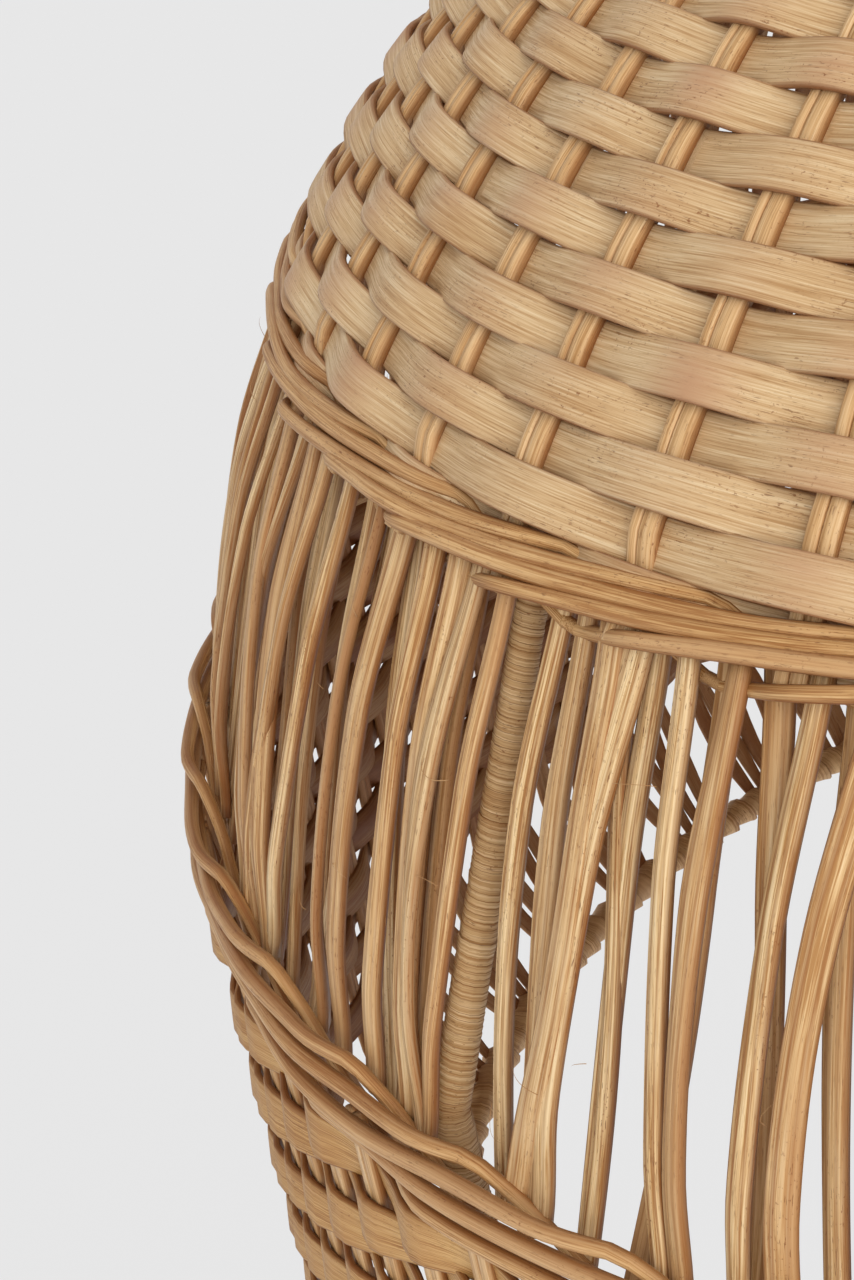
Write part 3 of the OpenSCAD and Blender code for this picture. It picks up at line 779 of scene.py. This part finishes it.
def neck_binding():
    """Five rods of core laid round the neck, one above the other."""
    low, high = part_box("neck_binding")
    rng = np.random.default_rng(25)
    turns = 5
    phi = np.linspace(0, TAU, 121)[:-1]
    rod = (high.z - low.z) / turns / 2
    profile = round_profile(rod * 1.04, sides=12)
    parts = []
    for k in range(turns):
        ring = place(phi, high.x - rod, low.z + rod * (2 * k + 1))
        parts.append(sweep(ring, radial(phi), profile, closed=True, tone=rng.uniform(0, 0.6),
                           seed=rng.uniform(0, GRAINS)))
    piece = build("neck_cane", parts, CORE, "head")
    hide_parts("neck_binding")


def pole_nodes():
    """The bamboo's joints, over the ridges of the frame's poles: two rings with a groove between them."""
    phi = np.linspace(0, TAU, 73)[:-1]
    z = np.array([-7, -4, -2.4, -1.3, -0.4, 0.5, 1.8, 3.4, 6.5]) * MM
    out = np.array([-1.2, -0.75, 0.05, 0.4, 0.15, 0.15, 0.3, -0.45, -1.2]) * MM
    inside = -2 * MM
    shape = np.stack([np.append(z, [z[-1], z[0]]), np.append(out, [inside, inside])], 1)
    edge = np.array([0, 0, 0.2, 0.6, 1, 1, 0.4, 0, 0, 0, 0])
    profile = (-shape * [1, -1], edge)
    for name, body, joints in (("lower", "base", (0.24, 0.56, 0.82)), ("upper", "mast", (0.2, 0.52, 0.8))):
        low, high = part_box(f"{name}_pole")
        parts = []
        for share in joints:
            ring = place(phi, high.x, low.z + (high.z - low.z) * share)
            parts.append(sweep(ring, radial(phi), profile, closed=True))
        build(f"{name}_pole_nodes", parts, BAMBOO_NODE, body)


dome_weave()
dome_stakes()
waling("upper_waling_rod", dome_place, rods=5, middle=WALING_H * 0.5, rod=0.98 * MM, travel=3.8 * MM,
       base=-0.6 * MM, swing=1.4 * MM, wander=0.32 * MM, seed=13, replaced="upper_waling", deep=1.6 * MM)
waling("lower_waling_rod", belt_surface, rods=5, middle=-5.6 * MM, rod=1.20 * MM, travel=5.8 * MM,
       base=0.3 * MM, swing=1.7 * MM, wander=0.40 * MM, seed=23, replaced="lower_waling", deep=0)
lattice()
stray_hairs()
lower_weave()
lower_stakes()
rim_binding()
rib_wrapping()
neck_binding()
pole_nodes()

NODE_LOOKS = {
    "ground_spike": STEEL, "spike_ferrule": STEEL, "pole_coupler": STEEL, "coupler_screws": STEEL,
    "spider_hub": STEEL, "spider_arms": STEEL, "hub_thumbscrew": STEEL, "bottom_ring": STEEL,
    "frame_ribs": STEEL, "neck_ring": STEEL, "hinge_pin": STEEL, "snuffer_knob": STEEL,
    "fuel_canister": COPPER, "canister_top": COPPER, "burner_cap": COPPER, "wick_tube": COPPER,
    "hinge_bracket": COPPER, "snuffer_cap": COPPER, "cap_gasket": RUBBER,
    "lower_pole": BAMBOO, "upper_pole": BAMBOO, "wick": COTTON,
}
for node, look in NODE_LOOKS.items():
    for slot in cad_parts[node].material_slots:
        slot.material = look


# ---------------------------------------------------------------- stage, light and camera
def sky():
    """Even grey sky, brighter low down."""
    scene = bpy.context.scene
    scene.view_settings.view_transform = "Standard"
    world = bpy.data.worlds.new("studio")
    scene.world = world
    world.use_nodes = True
    tree = world.node_tree
    where = tree.nodes.new("ShaderNodeTexCoord")
    split = tree.nodes.new("ShaderNodeSeparateXYZ")
    level = tree.nodes.new("ShaderNodeMapRange")
    tree.links.new(where.outputs["Generated"], split.inputs[0])
    tree.links.new(split.outputs["Z"], level.inputs["Value"])
    for key, value in (("From Min", -0.4), ("From Max", 0.2), ("To Min", 0.84), ("To Max", 0.60)):
        level.inputs[key].default_value = value
    tree.links.new(level.outputs[0], tree.nodes["Background"].inputs["Color"])


def stage():
    """Pale floor that keeps the background even. It is left out where diffuse surfaces gather their light."""
    size = 30.0                            # metres from the middle to a side
    floor_mesh = bpy.data.meshes.new("floor")
    corners = [(-size, -size, 0), (size, -size, 0), (size, size, 0), (-size, size, 0)]
    floor_mesh.from_pydata(corners, [], [(0, 1, 2, 3)])
    floor = bpy.data.objects.new("floor", floor_mesh)
    bpy.context.scene.collection.objects.link(floor)
    s = Shader("pale_floor")
    s.surface.inputs["Base Color"].default_value = (0.15, 0.15, 0.155, 1)
    s.surface.inputs["Roughness"].default_value = 1.0
    s.surface.inputs["Specular IOR Level"].default_value = 0.0
    s.surface.inputs["Emission Color"].default_value = (1, 1, 1, 1)
    s.surface.inputs["Emission Strength"].default_value = 0.66
    floor_mesh.materials.append(s.material)
    floor.visible_diffuse = False


DAYLIGHT = (1.0, 0.97, 0.915)


def sun(name, strength, spread, azimuth, height):
    """Soft light from an azimuth, counted as in radial, and a height above the horizon, both in degrees, as
    is the spread that softens it."""
    lamp = bpy.data.lights.new(name, "SUN")
    lamp.energy = strength
    lamp.color = DAYLIGHT
    lamp.angle = math.radians(spread)
    obj = bpy.data.objects.new(name, lamp)
    bpy.context.scene.collection.objects.link(obj)
    a, e = math.radians(azimuth), math.radians(height)
    to_light = radial(a)[0] * math.cos(e) + Z * math.sin(e)
    side = unit(np.cross(Z, to_light))
    basis = np.stack([side, np.cross(to_light, side), to_light], 1)
    obj.matrix_world = Matrix(basis.tolist()).to_4x4()


def camera():
    """The photograph's viewpoint: close to the left flank, looking down at the two walings."""
    lens = bpy.data.cameras.new("camera")
    lens.sensor_width = 36.0
    lens.lens = 70.3
    lens.clip_start = 0.01
    obj = bpy.data.objects.new("camera", lens)
    bpy.context.scene.collection.objects.link(obj)
    yaw, pitch, roll = -0.447, 0.499, math.radians(-11.8)      # radians, pitch counted downward
    forward = np.array([math.sin(yaw) * math.cos(pitch), math.cos(yaw) * math.cos(pitch), -math.sin(pitch)])
    right = unit(np.cross(forward, Z))
    up = np.cross(right, forward)
    across = math.cos(roll) * right + math.sin(roll) * up
    upright = -math.sin(roll) * right + math.cos(roll) * up
    matrix = Matrix(np.stack([across, upright, -forward], 1).tolist()).to_4x4()
    distance, rise = 2.119 * R, 0.756 * R
    matrix.translation = (0.0, -distance, RING_Z + rise)
    obj.matrix_world = matrix
    bpy.context.scene.camera = obj


sky()
stage()
sun("key", strength=2.0, spread=45, azimuth=-38, height=30)
sun("fill", strength=0.25, spread=60, azimuth=18, height=12)
camera()
